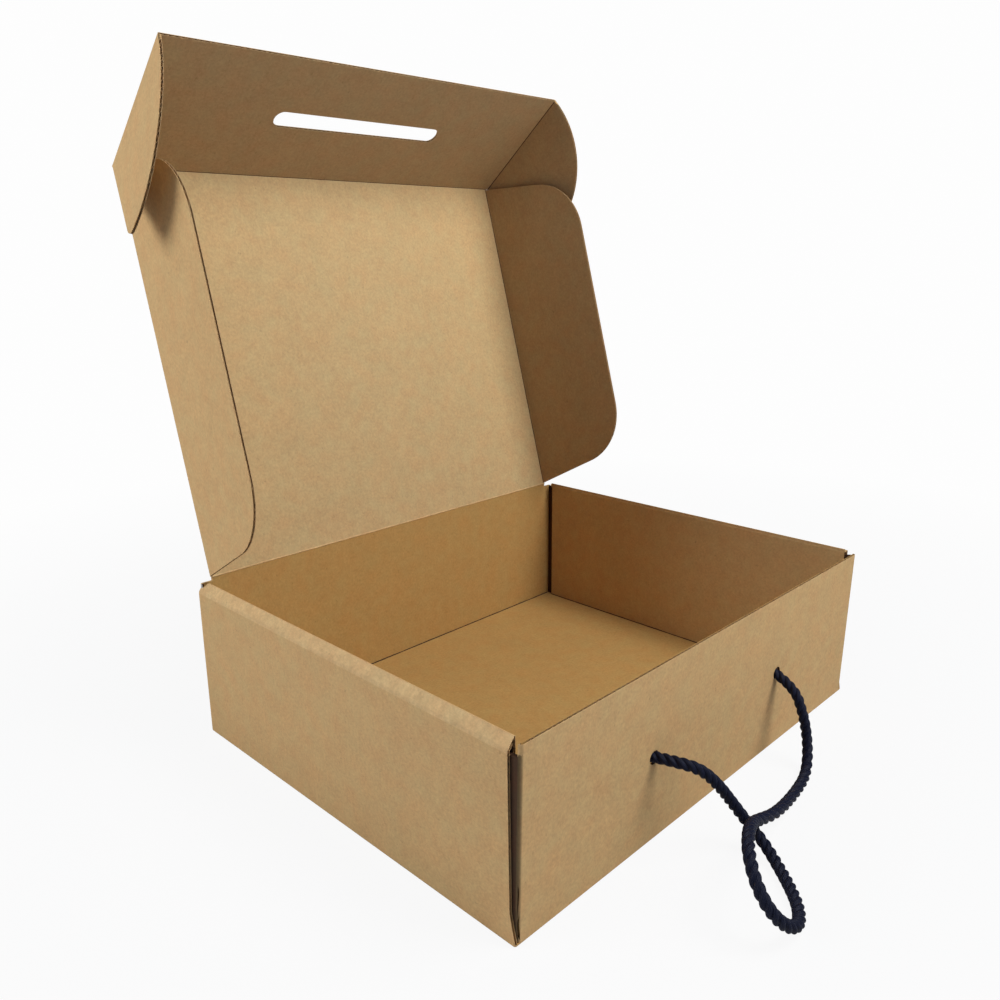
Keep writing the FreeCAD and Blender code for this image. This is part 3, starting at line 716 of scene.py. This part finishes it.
# ------------------------------------------------------------------ knots
# Behind the wall each end of the same rope is pulled tight into a small overhand
# knot, which is wider than the hole. The two are mirror images of each other.
LOOP_REACH, LOOP_DEPTH = 0.00104, 0.0019  # a third of the knot's half width, half its depth
TIGHT_ROPE, TIGHT_LAY = 0.0041, 0.0104  # the rope and its lay, where it is pulled tight
for word, side in (("left", -1), ("right", 1)):
    node = "knot_" + word
    low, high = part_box(node)
    centre = (Vector(low) + Vector(high)) / 2
    trefoil = []
    for degrees in range(0, 361, 2):
        turn = math.radians(degrees)
        trefoil.append(centre + Vector((
            side * (math.sin(turn) + 2 * math.sin(2 * turn)) * LOOP_REACH,
            -math.sin(3 * turn) * LOOP_DEPTH,
            (math.cos(turn) - 2 * math.cos(2 * turn)) * LOOP_REACH)))
    knot = twisted(node + "_tied", trefoil, TIGHT_ROPE, lambda run: TIGHT_LAY, closed=True)
    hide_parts(node)
    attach(knot, "tray")
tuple(rope_path[0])

# -------------------------------------------------------- floor and light
# A white sweep, whose shadows fade out a little way from the box, under soft light
# from the front right, from above and from the back left, and a faint blue sky.
BACKDROP, SKY = 0.985, 0.10             # strengths, as seen and as it lights the box
bpy.ops.object.select_all(action="DESELECT")
bpy.ops.mesh.primitive_grid_add(x_subdivisions=8, y_subdivisions=8, size=8)
ground = bpy.context.object
ground.name = "floor"
white = bpy.data.materials.new("white_sweep")
white.use_nodes = True
white.node_tree.nodes.clear()
wire = Wire(white.node_tree)
seen = wire.node("ShaderNodeLightPath", {}, {}, "Is Camera Ray")
place = wire.node("ShaderNodeTexCoord", {}, {}, "Object")
far = wire.node("ShaderNodeVectorMath", {"operation": "LENGTH"}, {0: place}, 1)
fade = wire.node("ShaderNodeMapRange", {"clamp": True},
                 {0: far, 1: 0.2, 2: 0.7, 3: 0.93, 4: 1.0})
glow = wire.node("ShaderNodeEmission", {}, {"Color": (1, 1, 1, 1), "Strength": BACKDROP})
matt = wire.node("ShaderNodeBsdfDiffuse", {}, {"Color": (0.62, 0.62, 0.62, 1)})
both = wire.node("ShaderNodeMixShader", {}, {0: seen * fade, 1: matt, 2: glow})
wire.node("ShaderNodeOutputMaterial", {}, {"Surface": both})
ground.data.materials.append(white)
ground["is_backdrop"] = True

world = bpy.data.worlds.new("studio")
bpy.context.scene.world = world
world.use_nodes = True
world.node_tree.nodes.clear()
wire = Wire(world.node_tree)
seen = wire.node("ShaderNodeLightPath", {}, {}, "Is Camera Ray")
strength = SKY + seen * (BACKDROP - SKY)
colour = wire.node("ShaderNodeMix", {"data_type": "RGBA"},
                   {0: seen, 6: (0.1, 0.3, 1, 1), 7: (1, 1, 1, 1)}, 2)
sky = wire.node("ShaderNodeBackground", {}, {"Color": colour, "Strength": strength})
wire.node("ShaderNodeOutputWorld", {}, {"Surface": sky})


def softbox(name, place, size, power, aim):
    """A square area lamp at a place, turned to the point that it aims at."""
    lamp = bpy.data.lights.new(name, "AREA")
    lamp.shape = "SQUARE"
    lamp.size = size
    lamp.energy = power
    box = bpy.data.objects.new(name, lamp)
    bpy.context.scene.collection.objects.link(box)
    box.location = place
    box.rotation_euler = (Vector(place) - Vector(aim)).to_track_quat("Z", "Y").to_euler()


softbox("key_light", (0.373, -0.873, 1.036), 0.6, 4.8, aim=(0, 0.05, 0.2))
softbox("front_light", (0.102, -1.119, 0.449), 0.6, 2.1, aim=(0, 0.05, 0.2))
softbox("top_light", (0.2, -0.4, 0.8), 0.4, 4.9, aim=(0, 0.15, 0.25))
softbox("fill_light", (-1.12, 0.64, 0.65), 0.9, 13.6, aim=(-0.1, 0.05, 0.1))

# ----------------------------------------------------------------- camera
# It stands close to the box's front left corner and looks down on it a little,
# through a slightly wide lens.
camera = bpy.data.objects.new("camera", bpy.data.cameras.new("camera"))
bpy.context.scene.collection.objects.link(camera)
camera.location = (-0.36426, -0.32484, 0.26967)
heading = Matrix.Rotation(math.radians(-45.487), 3, "Z")
tilt = Matrix.Rotation(math.radians(75.0), 3, "X")
roll = Matrix.Rotation(math.radians(-0.51), 3, "Z")
camera.rotation_euler = (heading @ tilt @ roll).to_euler()
camera.data.lens = 31.94
camera.data.sensor_width = 36
camera.data.shift_x, camera.data.shift_y = 0.0028, -0.0107
camera.data.clip_start = 0.01
bpy.context.scene.camera = camera
bpy.context.scene.view_settings.view_transform = "Standard"

low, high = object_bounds()
